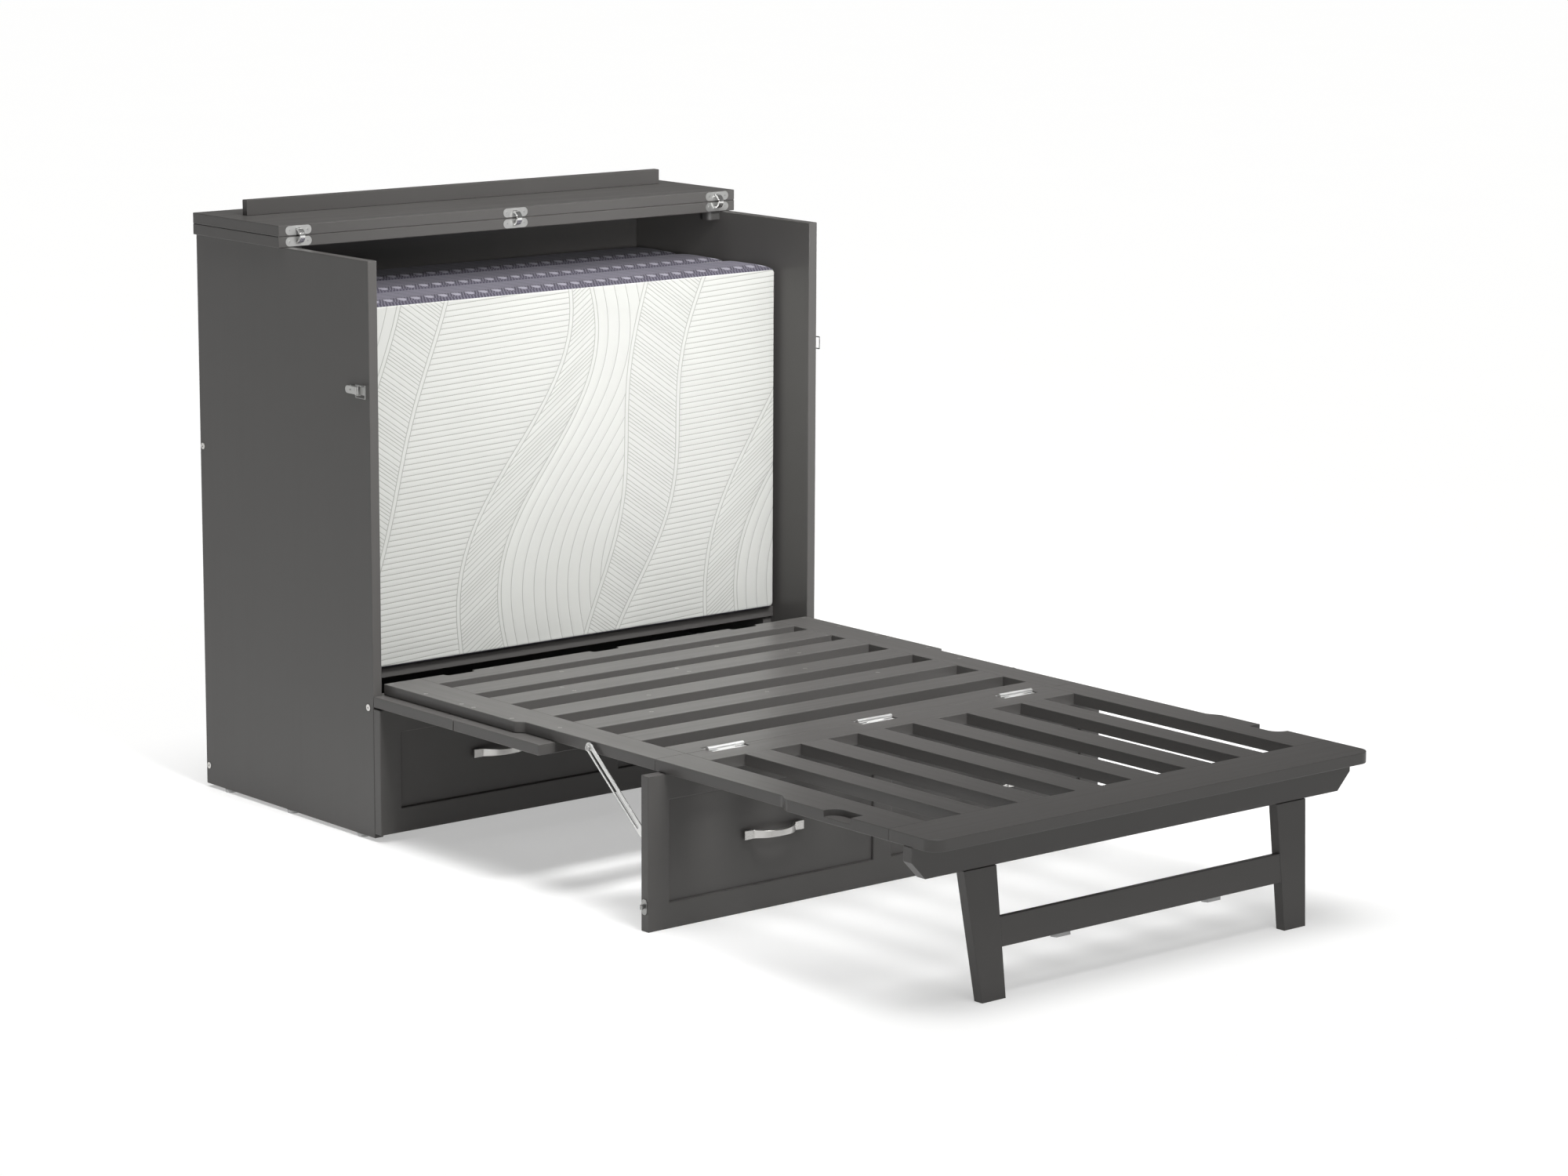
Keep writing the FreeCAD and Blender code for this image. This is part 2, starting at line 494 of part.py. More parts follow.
# ---- latches ------------------------------------------------------------------------------
LZ, LPY, LPX = 841.0, 31.0, -538.5
base = fuse(
    box(-535.1, -HALF_W, 14, 60, LZ - 7.5, LZ + 7.5),
    box(LPX - 1.9, -HALF_W, LPY - 2.0, LPY + 2.0, LZ - 9.4, LZ - 7.7),
    box(LPX - 1.9, -HALF_W, LPY - 2.0, LPY + 2.0, LZ + 7.7, LZ + 9.4),
    box(-535.1, -HALF_W, LPY - 4.0, LPY + 4.0, LZ - 9.4, LZ + 9.4),
    cyl(1.0, (LPX, LPY, LZ - 9.4), (0, 0, 1), 18.8),
)
node("latch_bases", base, mirror(base))
EX, EY = -542.7, 30.2   # eye of the bail in the lever
lever = fuse(
    box(-541.4, -540.0, 30.0, 58.0, LZ - 7.0, LZ + 7.0),
    cyl(7.0, (-541.4, 59.0, LZ), (1, 0, 0), 1.4),
    cyl(1.9, (LPX, LPY, LZ - 7.0), (0, 0, 1), 14.0),
    box(-541.0, LPX, 30.0, 32.6, LZ - 7.0, LZ + 7.0),
    cyl(2.0, (EX, EY, LZ - 7.0), (0, 0, 1), 14.0),
)
lever = cut(lever, cyl(1.06, (LPX, LPY, LZ - 12), (0, 0, 1), 24), cyl(1.16, (EX, EY, LZ - 12), (0, 0, 1), 24), cyl(2.0, (-545, 50.0, LZ), (1, 0, 0), 8))
node("latch_lever_left", lever)
node("latch_lever_right", mirror(lever))
WR, BZ, BF = 1.1, 11.6, 1.0
bail = fuse(
    cyl(WR, (EX, EY, LZ - BZ), (0, 0, 1), 2 * BZ),
    cyl(WR, (EX, BF, LZ - BZ), (0, 0, 1), 2 * BZ),
    cyl(WR, (EX, BF, LZ - BZ), (0, 1, 0), EY - BF),
    cyl(WR, (EX, BF, LZ + BZ), (0, 1, 0), EY - BF),
    *[Part.makeSphere(WR, V(EX, y, z)) for y in (BF, EY) for z in (LZ - BZ, LZ + BZ)],
)
node("latch_bail_left", bail)
node("latch_bail_right", mirror(bail))

# ---- deck: second section ------------------------------------------------------------------
node("foot_head_rail", head_rail)
foot_left = side_rail(FOOT_HEAD, -1408.0, -1123.0, -1157.0, -1, NARROW, WIDE)
foot_left = soften(foot_left, 1.2, lambda e: e.BoundBox.XMax < -490 and (e.BoundBox.ZMin > DECK_TOP - 0.01 or e.BoundBox.ZMax < DECK_BOT + 0.01))


def hand_pocket(turned):
    p = box(-530, -WIDE + 26.0, -1316.0, -1248.0, DECK_TOP - 11.0, DECK_TOP + 5)
    y = -1316.0 if turned else -1248.0
    return p.makeFillet(24.0, [e for e in p.Edges if e.BoundBox.ZLength > 5 and abs(e.BoundBox.YMin - y) < 0.1 and e.BoundBox.XMin > -500])


foot_left = eased(foot_left, inner_edge)
fl = cut(foot_left, hand_pocket(False))
fr = mirror(cut(foot_left, hand_pocket(True)))
node("foot_side_rails", fl, fr)
end_rail = box(-WIDE, WIDE, FOOT_END, -1408.0, DECK_BOT, DECK_TOP)
end_rail = end_rail.makeFillet(26.0, [e for e in end_rail.Edges if e.BoundBox.ZLength > 5 and e.BoundBox.YMax < FOOT_END + 1])
end_rail = soften(end_rail, 1.2, lambda e: e.BoundBox.YMin < -1409 and (e.BoundBox.ZMin > DECK_TOP - 0.01 or e.BoundBox.ZMax < DECK_BOT + 0.01))
end_rail = eased(end_rail, lambda e: e.BoundBox.YMin > -1408.1)
node("foot_end_rail", end_rail)
LONG = [(-430, -352), (-297, -226), (-165, -95), (-35, 35), (95, 165), (226, 297), (352, 430)]
node("foot_slats", *[eased(box(a[1], b[0], -1408.0, -855.0, DECK_BOT, DECK_TOP)) for a, b in zip(LONG[:-1], LONG[1:])])
apron = prism([(-511, DECK_BOT), (-511, 250), (-481, APRON_Z), (481, APRON_Z), (511, 250), (511, DECK_BOT)], "y", -1466.0, -1445.0)
apron = soften(apron, 1.0, lambda e: e.BoundBox.YMax < -1465.9 and e.BoundBox.ZMin < 274)
node("foot_apron", apron)

# ---- legs ------------------------------------------------------------------------------------
LEG_T = 19.5
FRONT_Y = -1467.4       # front face where it meets the apron's underside


def tilted(shape):
    s = shape.copy()
    s.rotate(V(0, FRONT_Y, LEG_TOP_Z), V(1, 0, 0), -LEG_TILT)
    return s


slab = box(-600, 600, -1700, -1300, 0, LEG_TOP_Z)
leg = prism([(-401.0, 240.0), (-327.4, 240.0), (-326.6, -20.0), (-377.6, -20.0)], "y", FRONT_Y, FRONT_Y + LEG_T)
leg = soften(leg, 1.1, lambda e: e.BoundBox.ZLength > 100)
leg = tilted(leg).common(slab)
node("leg_left", leg)
node("leg_right", mirror(leg))
st = box(-327.1, 327.1, FRONT_Y + 0.4, FRONT_Y + 14.4, 83.0, 133.0)
st = st.makeFillet(1.0, [e for e in st.Edges if e.BoundBox.XLength > 100])
node("leg_stretcher", cut(tilted(st), leg, mirror(leg)))
bump = board(-192, -161, FRONT_Y + 14.4, FRONT_Y + 31.4, 74.0, 104.0, 0)
bump = bump.makeFillet(2.0, [e for e in bump.Edges if e.BoundBox.YMin > FRONT_Y + 31])
node("leg_bumpers", tilted(bump), mirror(tilted(bump)))

LY, LZ2 = LEG_PIVOT
straps, brackets = [], []
for x in (-364.0, 364.0):
    sgn = 1 if x > 0 else -1
    poly = [(-1456.4, 150.0), (-1448.3, 150.0), (-1434.0, 212.0), (-1428.4, 258.0), (-1428.4, 262.0), (-1441.6, 262.0), (-1442.6, 225.0), (-1443.2, 215.5), (-1448.2, 214.0)]
    web = fuse(prism(poly, "x", x - 1.5, x + 1.5), xcyl(6.6, LY, LZ2, x - 1.5, x + 1.5))
    flange = tilted(box(x - 12, x + 12, FRONT_Y + LEG_T, FRONT_Y + LEG_T + 2.0, 148.0, 212.0))
    strap = cut(fuse(web, flange), leg, mirror(leg))
    straps.append(cut(strap, xcyl(3.05, LY, LZ2, x - 10, x + 10)))
    e0, e1 = (x + 1.9, x + 4.9) if sgn < 0 else (x - 4.9, x - 1.9)
    ear = prism([(-1443.0, 273.6), (-1441.6, 262.0), (-1428.4, 262.0), (-1420.0, 273.6)], "x", e0, e1)
    eye = xcyl(6.6, LY, LZ2, e0, e1)
    top = box(x - 16, x + 16, -1443.5, -1412.0, 273.5, DECK_BOT)
    pin = xcyl(3.0, LY, LZ2, x - 4.5 if sgn < 0 else x - 2.6, x + 2.6 if sgn < 0 else x + 4.5)
    capx = (x - 4.6, x - 2.0) if sgn < 0 else (x + 2.0, x + 4.6)
    cap = xcyl(4.6, LY, LZ2, *capx)
    brackets.append(fuse(ear, eye, top, pin, cap))
node("leg_hinge_straps", *straps)
node("leg_hinge_brackets", *brackets)

# ---- mattress: three upright layers ----------------------------------------------------------
layers = []
for k in range(3):
    y = MAT_Y + k * (MAT_T + 0.6)
    layers.append(board(-MAT_HALF, MAT_HALF, y, y + MAT_T, MAT_Z0, MAT_Z1, 16.0))
node("mattress_layers", *layers)

# ---- export ------------------------------------------------------------------------------------
os.makedirs("parts", exist_ok=True)
for name, solids in OUT.items():
    shape = solids[0] if len(solids) == 1 else Part.makeCompound(solids)
    shape = shape.copy()
    shape.translate(V(0, SHIFT_Y, 0))
    shape.exportStep("parts/%s.step" % name)
print(len(OUT), "nodes")
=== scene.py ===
import math

import bmesh
import bpy
import numpy as np
from mathutils import Matrix, Vector


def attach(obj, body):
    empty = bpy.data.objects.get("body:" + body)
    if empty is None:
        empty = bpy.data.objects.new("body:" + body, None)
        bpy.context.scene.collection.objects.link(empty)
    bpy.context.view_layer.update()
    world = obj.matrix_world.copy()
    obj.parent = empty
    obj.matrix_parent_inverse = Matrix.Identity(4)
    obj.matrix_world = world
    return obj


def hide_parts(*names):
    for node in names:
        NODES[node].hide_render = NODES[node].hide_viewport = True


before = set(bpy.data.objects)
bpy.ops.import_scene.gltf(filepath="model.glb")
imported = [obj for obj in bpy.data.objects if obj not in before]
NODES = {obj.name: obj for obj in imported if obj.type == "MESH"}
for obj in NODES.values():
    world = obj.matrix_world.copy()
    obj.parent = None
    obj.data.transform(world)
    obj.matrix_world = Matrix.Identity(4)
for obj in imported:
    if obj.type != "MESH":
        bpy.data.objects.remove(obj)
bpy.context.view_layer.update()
MM = 0.001
SHIFT = 0.474           # the part's Y runs from the footprint's centre; the cabinet's front plane is here


# ---------------------------------------------------------------------------- camera
def camera():
    data = bpy.data.cameras.new("camera")
    cam = bpy.data.objects.new("camera", data)
    bpy.context.scene.collection.objects.link(cam)
    yaw, pitch, roll = math.radians(40.1056), math.radians(10.9604), math.radians(0.299)
    fwd = Vector((math.sin(yaw) * math.cos(pitch), math.cos(yaw) * math.cos(pitch), -math.sin(pitch)))
    right = Vector((math.cos(yaw), -math.sin(yaw), 0.0))
    up = right.cross(fwd)
    r2 = right * math.cos(roll) + up * math.sin(roll)
    u2 = up * math.cos(roll) - right * math.sin(roll)
    m = Matrix((r2, u2, -fwd)).transposed().to_4x4()
    m.translation = Vector((-5.10320, -6.12371, 2.03050))
    cam.matrix_world = m
    data.lens = 101.982
    data.sensor_width = 36.0
    data.clip_start, data.clip_end = 0.1, 200.0
    bpy.context.scene.camera = cam


camera()


# ---------------------------------------------------------------------------- lights and floor
def area(name, at, look, size, power, color=(1, 1, 1)):
    data = bpy.data.lights.new(name, "AREA")
    data.shape = "RECTANGLE"
    data.size, data.size_y = size
    data.energy = power
    data.color = color
    ob = bpy.data.objects.new(name, data)
    bpy.context.scene.collection.objects.link(ob)
    ob.location = at
    ob.rotation_euler = (Vector(look) - Vector(at)).to_track_quat("-Z", "Y").to_euler()
    return ob


world = bpy.data.worlds.new("studio")
bpy.context.scene.world = world
world.use_nodes = True
bg = world.node_tree.nodes["Background"]
bg.inputs[0].default_value = (1.0, 0.995, 0.985, 1)
bg.inputs[1].default_value = 0.12
sun = bpy.data.lights.new("overhead", "SUN")
sun.energy = 2.72
sun.angle = math.radians(40)
sun_ob = bpy.data.objects.new("overhead", sun)
bpy.context.scene.collection.objects.link(sun_ob)
sun_ob.rotation_euler = (Vector((0.02, 0.02, -1.0))).to_track_quat("-Z", "Y").to_euler()
soft = area("softbox", (0.0, -1.35, 2.6), (0.0, 0.1, 0.88), (1.9, 0.5), 18)
soft.data.spread = math.radians(62)
front = area("front_panel", (-0.40, -2.6, 2.20), (0.05, 0.47, 0.72), (1.3, 0.6), 6.5)
front.data.spread = math.radians(64)
fill = area("side_fill", (-1.6, -2.4, 1.25), (0.42, 0.5, 0.97), (0.5, 0.5), 1.5)
fill.data.spread = math.radians(26)
bpy.context.scene.view_settings.view_transform = "Standard"


# ---------------------------------------------------------------------------- node helpers
class Tree:
    """A small helper for building a material's nodes."""

    def __init__(self, name):
        self.mat = bpy.data.materials.new(name)
        self.mat.use_nodes = True
        self.t = self.mat.node_tree
        self.t.nodes.clear()
        self.out = self.t.nodes.new("ShaderNodeOutputMaterial")
        self.bsdf = self.t.nodes.new("ShaderNodeBsdfPrincipled")
        self.t.links.new(self.bsdf.outputs[0], self.out.inputs[0])
        self.tc = None

    def link(self, a, b):
        self.t.links.new(a, b)
        return b

    def put(self, sock, value):
        if isinstance(value, bpy.types.NodeSocket):
            self.t.links.new(value, sock)
        elif isinstance(value, (tuple, list)) and sock.type == "RGBA" and len(value) == 3:
            sock.default_value = (*value, 1)
        else:
            sock.default_value = value

    def coord(self):
        if self.tc is None:
            self.tc = self.t.nodes.new("ShaderNodeTexCoord")
        return self.tc.outputs["Object"]

    def mapping(self, scale=(1, 1, 1), rot=(0, 0, 0), loc=(0, 0, 0), vec=None):
        n = self.t.nodes.new("ShaderNodeMapping")
        n.inputs["Scale"].default_value = scale
        n.inputs["Rotation"].default_value = rot
        n.inputs["Location"].default_value = loc
        self.t.links.new(vec if vec is not None else self.coord(), n.inputs[0])
        return n.outputs[0]

    def noise(self, scale, vec=None, detail=3.0, rough=0.5, distortion=0.0):
        n = self.t.nodes.new("ShaderNodeTexNoise")
        n.inputs["Scale"].default_value = scale
        n.inputs["Detail"].default_value = detail
        n.inputs["Roughness"].default_value = rough
        n.inputs["Distortion"].default_value = distortion
        self.t.links.new(vec if vec is not None else self.coord(), n.inputs["Vector"])
        return n.outputs[0]

    def voronoi(self, scale, vec=None, feature="F1"):
        n = self.t.nodes.new("ShaderNodeTexVoronoi")
        n.feature = feature
        n.inputs["Scale"].default_value = scale
        self.t.links.new(vec if vec is not None else self.coord(), n.inputs["Vector"])
        return n.outputs["Distance"]

    def math(self, op, a, b=None, c=None, clamp=False):
        n = self.t.nodes.new("ShaderNodeMath")
        n.operation = op
        n.use_clamp = clamp
        self.put(n.inputs[0], a)
        if b is not None:
            self.put(n.inputs[1], b)
        if c is not None:
            self.put(n.inputs[2], c)
        return n.outputs[0]

    def ramp(self, fac, a, b, lo=0.0, hi=1.0, smooth=True):
        n = self.t.nodes.new("ShaderNodeMapRange")
        n.interpolation_type = "SMOOTHSTEP" if smooth else "LINEAR"
        self.put(n.inputs["Value"], fac)
        self.put(n.inputs["From Min"], a)
        self.put(n.inputs["From Max"], b)
        self.put(n.inputs["To Min"], lo)
        self.put(n.inputs["To Max"], hi)
        return n.outputs[0]

    def mix(self, fac, a, b):
        n = self.t.nodes.new("ShaderNodeMix")
        n.data_type = "RGBA"
        self.put(n.inputs[0], fac)
        self.put(n.inputs[6], a)
        self.put(n.inputs[7], b)
        return n.outputs[2]

    def xyz(self, vec=None):
        n = self.t.nodes.new("ShaderNodeSeparateXYZ")
        self.t.links.new(vec if vec is not None else self.coord(), n.inputs[0])
        return n.outputs

    def combine(self, x, y, z):
        n = self.t.nodes.new("ShaderNodeCombineXYZ")
        for s, v in zip(n.inputs, (x, y, z)):
            self.put(s, v)
        return n.outputs[0]

    def attr(self, name):
        n = self.t.nodes.new("ShaderNodeAttribute")
        n.attribute_name = name
        return n.outputs["Fac"]

    def bump(self, height, distance, strength=1.0, normal=None):
        n = self.t.nodes.new("ShaderNodeBump")
        n.inputs["Strength"].default_value = strength
        n.inputs["Distance"].default_value = distance
        self.t.links.new(height, n.inputs["Height"])
        if normal is not None:
            self.t.links.new(normal, n.inputs["Normal"])
        return n.outputs[0]

    def edge(self, radius):
        """1 on a sharp edge, 0 on a flat face, and the rounded normal."""
        b = self.t.nodes.new("ShaderNodeBevel")
        b.samples = 4
        b.inputs["Radius"].default_value = radius
        g = self.t.nodes.new("ShaderNodeNewGeometry")
        d = self.t.nodes.new("ShaderNodeVectorMath")
        d.operation = "DOT_PRODUCT"
        self.t.links.new(b.outputs[0], d.inputs[0])
        self.t.links.new(g.outputs["Normal"], d.inputs[1])
        return self.ramp(d.outputs["Value"], 0.985, 0.8), b.outputs[0]

    def set(self, **k):
        names = {
            "color": "Base Color",
            "rough": "Roughness",
            "metal": "Metallic",
            "normal": "Normal",
            "spec": "Specular IOR Level",
            "sheen": "Sheen Weight",
            "sheen_rough": "Sheen Roughness",
            "coat": "Coat Weight",
            "coat_rough": "Coat Roughness",
            "ior": "IOR",
            "aniso": "Anisotropic",
            "sub": "Subsurface Weight",
        }
        for key, v in k.items():
            self.put(self.bsdf.inputs[names[key]], v)
        return self.mat


# ---------------------------------------------------------------------------- materials
PAINT_A = (0.0728, 0.0700, 0.0676)
PAINT_B = (0.0780, 0.0750, 0.0725)
# PAINT_EDGE is the lighter colour along edges: partly paint rubbed thin, partly a painted highlight where edges catch
# the light
PAINT_EDGE = (0.120, 0.117, 0.112)


def paint(name, axis, seed=0.0):
    """Satin charcoal paint over wood; the grain runs along axis and only just shows through."""
    k = Tree(name)
    long, cross = 1.6, 52.0
    s = [cross, cross, cross]
    s["xyz".index(axis)] = long
    g = k.mapping(scale=tuple(s), loc=(seed, seed * 0.7, seed * 1.3))
    grain = k.noise(1.0, g, detail=5.0, rough=0.62, distortion=0.6)
    s2 = [c * 5.2 for c in s]
    fine = k.noise(1.0, k.mapping(scale=tuple(s2), loc=(seed * 2, 0, 3)), detail=3.0, rough=0.6)
    roller = k.noise(850.0, detail=2.0)
    cloud = k.noise(2.6, k.mapping(loc=(seed, 2.0, 5.0)), detail=4.0, rough=0.55)
    speck = k.voronoi(310.0, k.mapping(loc=(0.3, seed, 0.1)))
    dust = k.math("MULTIPLY", k.ramp(speck, 0.10, 0.03), k.ramp(cloud, 0.52, 0.70))
    edge, round_n = k.edge(0.0016)
    # lighter paint along the edges: partly paint rubbed thin, partly a painted highlight where the edges catch the
    # light
    worn_and_highlit = k.math("MULTIPLY", edge, k.ramp(k.noise(26.0, detail=5.0), 0.35, 0.7, 0.35, 1.0))
    base = k.mix(k.ramp(cloud, 0.3, 0.7), PAINT_A, PAINT_B)
    base = k.mix(k.ramp(grain, 0.58, 0.80, 0.0, 0.15), base, (0.066, 0.064, 0.061))
    base = k.mix(k.math("MULTIPLY", worn_and_highlit, 0.55), base, PAINT_EDGE)
    base = k.mix(k.math("MULTIPLY", dust, 0.10), base, (0.19, 0.187, 0.18))
    rough = k.math("ADD", k.ramp(cloud, 0.25, 0.75, 0.31, 0.37), k.ramp(grain, 0.3, 0.8, -0.02, 0.04))
    height = k.math("ADD", k.math("MULTIPLY", grain, 0.62), k.math("MULTIPLY", fine, 0.25))
    height = k.math("ADD", height, k.math("MULTIPLY", roller, 0.16))
    n = k.bump(height, 0.00012, 0.5, round_n)
    return k.set(color=base, rough=rough, normal=n, spec=0.26)


def metal(name, color, rough, brush=None, wear=0.5):
    k = Tree(name)
    smudge = k.noise(22.0, detail=5.0, rough=0.6)
    s = [900.0, 900.0, 900.0]
    if brush:
        s["xyz".index(brush)] = 18.0
    lines = k.noise(1.0, k.mapping(scale=tuple(s)), detail=3.0)
    dark = tuple(c * 0.78 for c in color)
    base = k.mix(k.ramp(smudge, 0.35, 0.75, 0.0, wear), color, dark)
    base = k.mix(k.ramp(lines, 0.3, 0.7, 0.0, 0.18), base, tuple(min(1, c * 1.1) for c in color))
    r = k.math("ADD", k.ramp(smudge, 0.3, 0.75, rough, rough + 0.12), k.ramp(lines, 0.3, 0.7, -0.03, 0.04))
    edge, round_n = k.edge(0.0004)
    # painted highlight: the metal is coloured lighter along its edges
    base = k.mix(k.math("MULTIPLY", edge, 0.35), base, tuple(min(1, c * 1.22) for c in color))
    return k.set(color=base, rough=r, metal=1.0, normal=k.bump(lines, 0.00005, 0.5, round_n))


def plastic(name, color, rough=0.45):
    k = Tree(name)
    n1 = k.noise(9.0, detail=3.0)
    fine = k.noise(1400.0, detail=2.0)
    edge, round_n = k.edge(0.0007)
    base = k.mix(k.ramp(n1, 0.3, 0.7), color, tuple(c * 0.9 for c in color))
    # painted highlight: the plastic is coloured lighter along its edges
    base = k.mix(k.math("MULTIPLY", edge, 0.3), base, tuple(min(1.0, c * 1.25) for c in color))
    r = k.ramp(fine, 0.3, 0.7, rough - 0.04, rough + 0.06)
    return k.set(color=base, rough=r, normal=k.bump(fine, 0.00008, 0.5, round_n), sub=0.0)


PAINT = {a: paint("satin_paint_" + a, a, s) for a, s in (("x", 0.0), ("y", 3.1), ("z", 7.4))}
NICKEL = metal("satin_nickel", (0.60, 0.59, 0.572), 0.27, "x")
LATCH = metal("latch_steel", (0.30, 0.30, 0.295), 0.40, None)
NICKEL_PLATE = metal("zinc_plate", (0.50, 0.50, 0.49), 0.42, None)
SCREW = metal("dull_screw", (0.36, 0.355, 0.345), 0.42, None)
STEEL_BRIGHT = metal("bright_steel", (0.86, 0.86, 0.85), 0.16, "z", 0.15)
STEEL_ARM = metal("galvanised_arm", (0.58, 0.58, 0.57), 0.36, "y")
STEEL_DARK = metal("runner_steel", (0.34, 0.34, 0.34), 0.36, "y")
STEEL_HINGE = metal("hinge_steel", (0.88, 0.88, 0.87), 0.36, "x", 0.15)
PLASTIC = plastic("grey_plastic", (0.50, 0.50, 0.50))
PLASTIC_DARK = plastic("dark_plastic", (0.055, 0.054, 0.052), 0.5)

GRAIN = {
    "x": "back_panel back_rails hinge_rail mattress_shelf rear_top_board lid_board lid_stop_strip drawer_front drawer_back "
    "drawer_bottom false_front_2 false_front_3 support_panel deck_rear_rail deck_front_rail deck_slats foot_head_rail "
    "foot_end_rail foot_apron leg_stretcher",
    "y": "deck_side_rails foot_side_rails foot_slats drawer_sides shelf_cleats",
    "z": "side_panel_left side_panel_right leg_left leg_right",
}
for axis, names in GRAIN.items():
    for n in names.split():
        NODES[n].data.materials.clear()
        NODES[n].data.materials.append(PAINT[axis])
OTHER = {
    SCREW: "deck_screws",
    NICKEL: "drawer_pulls support_pulls cabinet_bolts",
    STEEL_HINGE: "fold_hinge_leaves_deck fold_hinge_leaves_foot",
    LATCH: "strike_hooks latch_bail_left latch_bail_right",
    NICKEL_PLATE: "lid_hinge_plates_rear lid_hinge_plates_front latch_bases latch_lever_left latch_lever_right "
    "deck_hinge_leaves_fixed deck_hinge_leaves_moving support_hinge_leaves_deck support_hinge_leaves_panel stay_brackets "
    "leg_hinge_straps leg_hinge_brackets stay_guide_screws",
    STEEL_BRIGHT: "lid_hinge_links",
    STEEL_ARM: "stay_arms stay_ferrules",
    STEEL_DARK: "drawer_runners_fixed drawer_runners_moving",
    PLASTIC: "floor_glides leg_bumpers",
    PLASTIC_DARK: "top_corner_blocks",
}
for mat, names in OTHER.items():
    for n in names.split():
        NODES[n].data.materials.clear()
        NODES[n].data.materials.append(mat)


# ---------------------------------------------------------------------------- mattress pattern
X0, X1 = -508.0, 508.0
Z0, Z1 = 300.2, 985.0
TH, GAP, FRONT = 148.4, 0.6, 89.0


def boundaries(z):
    """The boundary curves between the quilted regions, as x at each height: slow sweeps of a plain quilting layout."""
    t = (z - Z0) / (Z1 - Z0)
    lean, bow = np.sin(math.pi * 0.9 * (t - 0.5)), np.sin(2 * math.pi * t)
    turn = np.cos(2 * math.pi * t)
    table = [
        (-500, 92, 20, 10),
        (-408, 118, 26, 0),
        (-150, 132, -26, 16),
        (-62, 104, -38, 6),
        (118, 78, 30, -12),
        (236, 112, 44, -20),
        (446, 126, -18, 8),
        (548, 140, -26, 0),
    ]
    return [a + b * lean + c * bow + d * turn for a, b, c, d in table]


KINDS = ["stripes", "hatch", "rows", "hatch", "stripes", "hatch", "rows", "hatch", "stripes"]


def pattern(x, z):
    """Distance to the nearest boundary (mm), the line phase, mm per line, and the region kind."""
    b = boundaries(z)
    e = 0.5
    b2 = boundaries(z + e)
    dist = np.full(x.shape, 1e9)
    region = np.zeros(x.shape, int)
    for c, c2 in zip(b, b2):
        m = (c2 - c) / e
        d = (x - c) / np.sqrt(1 + m * m)
        dist = np.where(np.abs(d) < np.abs(dist), d, dist)
        region += (x > c).astype(int)
    phase = np.zeros(x.shape)
    unit = np.zeros(x.shape)
    for r in range(len(b) + 1):
        kind = KINDS[r]
        sel = region == r
        if kind == "rows":
            w, u = (z - 0.05 * x) / 10.6, 10.6
        elif kind == "hatch":
            q = z * 0.82 + x * 0.57 * (1 if r % 4 == 1 else -1)
            w = q / 7.6 + 0.36 * np.sin(2 * math.pi * q / 61.0)
            u = 1 / (1 / 7.6 + 0.36 * 2 * math.pi / 61.0 * np.cos(2 * math.pi * q / 61.0))
        else:
            w, u = (x - b[max(r - 1, 0)]) / 27.0, 27.0
        phase = np.where(sel, w, phase)
        unit = np.where(sel, u, unit)
    return dist, phase, unit, region


def line_gap(phase, unit):
    f = phase - np.floor(phase)
    return np.minimum(f, 1 - f) * unit


# ---------------------------------------------------------------------------- mattress materials
def knit_material():
    k = Tree("quilted_knit")
    edge_d, phase, unit, sel = k.attr("q_edge"), k.attr("q_phase"), k.attr("q_unit"), k.attr("q_front")
    x, y, z = k.xyz()
    # double stitch rows along the boundaries
    ad = k.math("ABSOLUTE", edge_d)
    rail = k.math("ABSOLUTE", k.math("SUBTRACT", ad, 4.2))
    rail_line = k.ramp(rail, 1.35, 0.45)
    # the lines inside the regions
    f = k.math("FRACT", phase)
    gap = k.math("MULTIPLY", k.math("MINIMUM", f, k.math("SUBTRACT", 1.0, f)), unit)
    inner = k.math("MULTIPLY", k.ramp(gap, 1.2, 0.35), k.ramp(ad, 4.2, 5.4))
    # thread dashes
    run = k.math("ADD", k.math("MULTIPLY", z, 1000.0), k.math("MULTIPLY", x, 560.0))
    dash = k.ramp(k.math("ABSOLUTE", k.math("SUBTRACT", k.math("FRACT", k.math("DIVIDE", run, 3.1)), 0.5)), 0.46, 0.30)
    line = k.math("MULTIPLY", k.math("MAXIMUM", rail_line, inner), sel)
    thread = k.math("MULTIPLY", line, k.ramp(dash, 0.0, 1.0, 0.55, 1.0))
    # fine knit: columns of tiny loops
    kx = k.math("SINE", k.math("MULTIPLY", x, 6283.0 / 1.35))
    kz = k.math("SINE", k.math("MULTIPLY", z, 6283.0 / 1.1))
    loops = k.math("MULTIPLY", kx, kz)
    fuzz = k.noise(900.0, detail=3.0)
    cloud = k.noise(4.0, detail=4.0)
    white = k.mix(k.ramp(cloud, 0.3, 0.7), (0.412, 0.415, 0.398), (0.398, 0.401, 0.384))
    white = k.mix(k.ramp(loops, -0.9, 0.9, 0.0, 0.10), white, (0.375, 0.375, 0.36))
    color = k.mix(k.math("MULTIPLY", thread, 0.74), white, (0.185, 0.195, 0.172))
    height = k.math("ADD", k.math("MULTIPLY", loops, 0.10), k.math("MULTIPLY", fuzz, 0.18))
    height = k.math("SUBTRACT", height, k.math("MULTIPLY", line, 0.75))
    n = k.bump(height, 0.00040, 0.6)
    return k.set(color=color, rough=0.92, normal=n, sheen=0.12, sheen_rough=0.6, spec=0.15)


